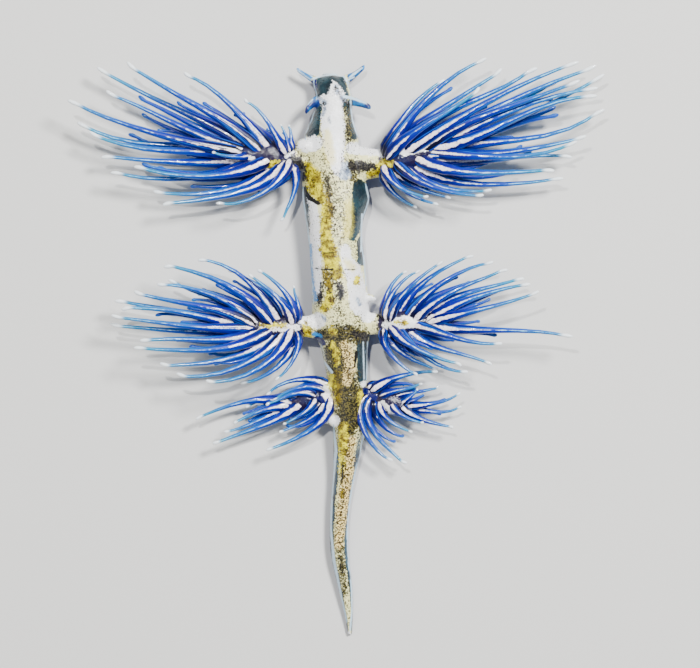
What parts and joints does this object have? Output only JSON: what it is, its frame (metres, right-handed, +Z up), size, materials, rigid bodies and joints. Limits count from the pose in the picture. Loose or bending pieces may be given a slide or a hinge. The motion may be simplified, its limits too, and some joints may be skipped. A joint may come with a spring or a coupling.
{
  "type": "blue dragon sea slug",
  "caption": "Life-size still model of a blue dragon sea slug, lying on its foot with its blue finger-like cerata spread in fans from six arms.",
  "frame": {"origin": "a point on the flat of the foot, near the middle of the body", "axes": "+Y along the body to the head, +X to the animal's right, +Z up from the foot to the silvery back"},
  "size_m": [0.038, 0.0411, 0.0041],
  "materials": {
    "silver_skin": "wet, silvery white flesh with gold speckles and clear grey margins",
    "tail_skin": "wet, clear flesh with a gold and tan speckled core",
    "feeler_skin": "wet, pale blue flesh with darker tips",
    "arm_skin": "wet, white and gold flesh",
    "cerata_skin": "wet, deep blue flesh with a silvery stripe along the upper face and pale tips"
  },
  "bodies": {
    "root": {"head": "silver_skin", "neck": "silver_skin", "body_front": "silver_skin", "body_middle": "silver_skin", "body_rear": "silver_skin", "tail_base": "tail_skin", "tail_middle": "tail_skin", "tail_tip": "tail_skin", "oral_tentacle_left": "feeler_skin", "oral_tentacle_right": "feeler_skin", "rhinophore_left": "feeler_skin", "rhinophore_right": "feeler_skin", "arm_front_left": "arm_skin", "arm_front_right": "arm_skin", "arm_middle_left": "arm_skin", "arm_middle_right": "arm_skin", "arm_rear_left": "arm_skin", "arm_rear_right": "arm_skin", "cerata_front_left": "cerata_skin", "cerata_front_right": "cerata_skin", "cerata_middle_left": "cerata_skin", "cerata_middle_right": "cerata_skin", "cerata_rear_left": "cerata_skin", "cerata_rear_right": "cerata_skin"}
  },
  "joints": []
}
